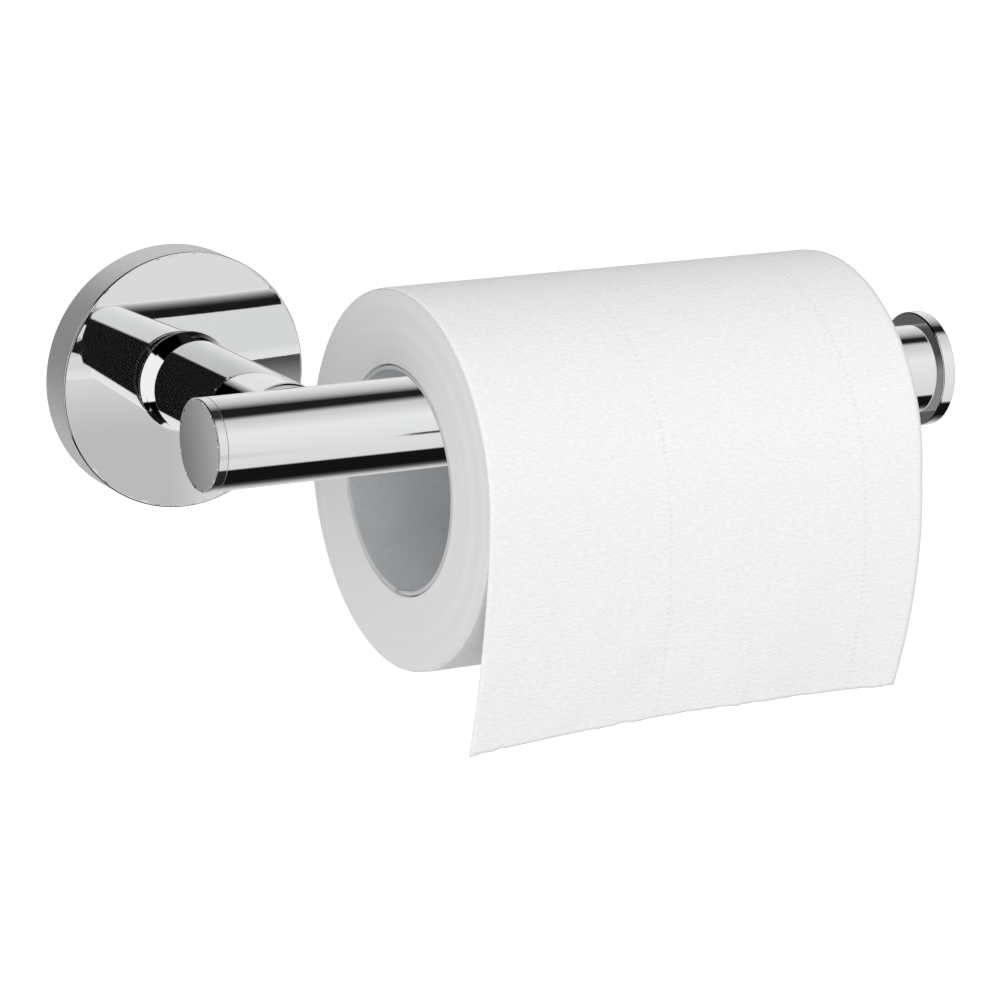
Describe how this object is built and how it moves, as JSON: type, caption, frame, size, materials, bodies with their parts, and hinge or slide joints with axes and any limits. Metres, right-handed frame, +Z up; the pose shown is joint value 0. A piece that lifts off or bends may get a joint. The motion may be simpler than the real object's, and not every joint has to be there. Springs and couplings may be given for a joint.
{
  "type": "toilet paper holder",
  "caption": "Wall-mounted chrome bar holder with a round flange, post and retaining disc, carrying a roll of toilet paper that spins and slides on the bar.",
  "frame": {"origin": "centre of the flat wall face of the bracket, on the axis of the post", "axes": "+Z up, +X along the bar towards its retaining disc, +Y into the wall"},
  "size_m": [0.1784, 0.1263, 0.0882],
  "materials": {
    "chrome": "polished",
    "zinc": "matte",
    "brass": "satin",
    "steel": "satin",
    "nylon": "matte",
    "cardboard": "matte",
    "tissue": "matte"
  },
  "bodies": {
    "holder": {"flange": "chrome", "post": "chrome", "bar_tube": "chrome", "end_cap": "chrome", "end_disc": "chrome", "bar_insert": "brass", "tie_bolt": "steel", "tie_bolt_washer": "steel", "spring_washer": "steel", "grub_screw": "steel", "wall_bracket": "zinc", "wall_screw_upper": "steel", "wall_screw_lower": "steel", "wall_washer_upper": "steel", "wall_washer_lower": "steel", "wall_plug_upper": "nylon", "wall_plug_lower": "nylon"},
    "loose_end": {"paper_tail": "tissue"},
    "roll": {"cardboard_core": "cardboard", "paper_roll": "tissue"}
  },
  "joints": [
    {"name": "roll_slide", "type": "slide", "parent": "holder", "child": "loose_end", "axis": [1, 0, 0], "range_m": [-0.0144, 0.0216]},
    {"name": "roll_spin", "type": "hinge", "parent": "loose_end", "child": "roll", "pos_m": [0.07525, -0.0599, -0.01261], "axis": [1, 0, 0], "continuous": true}
  ]
}
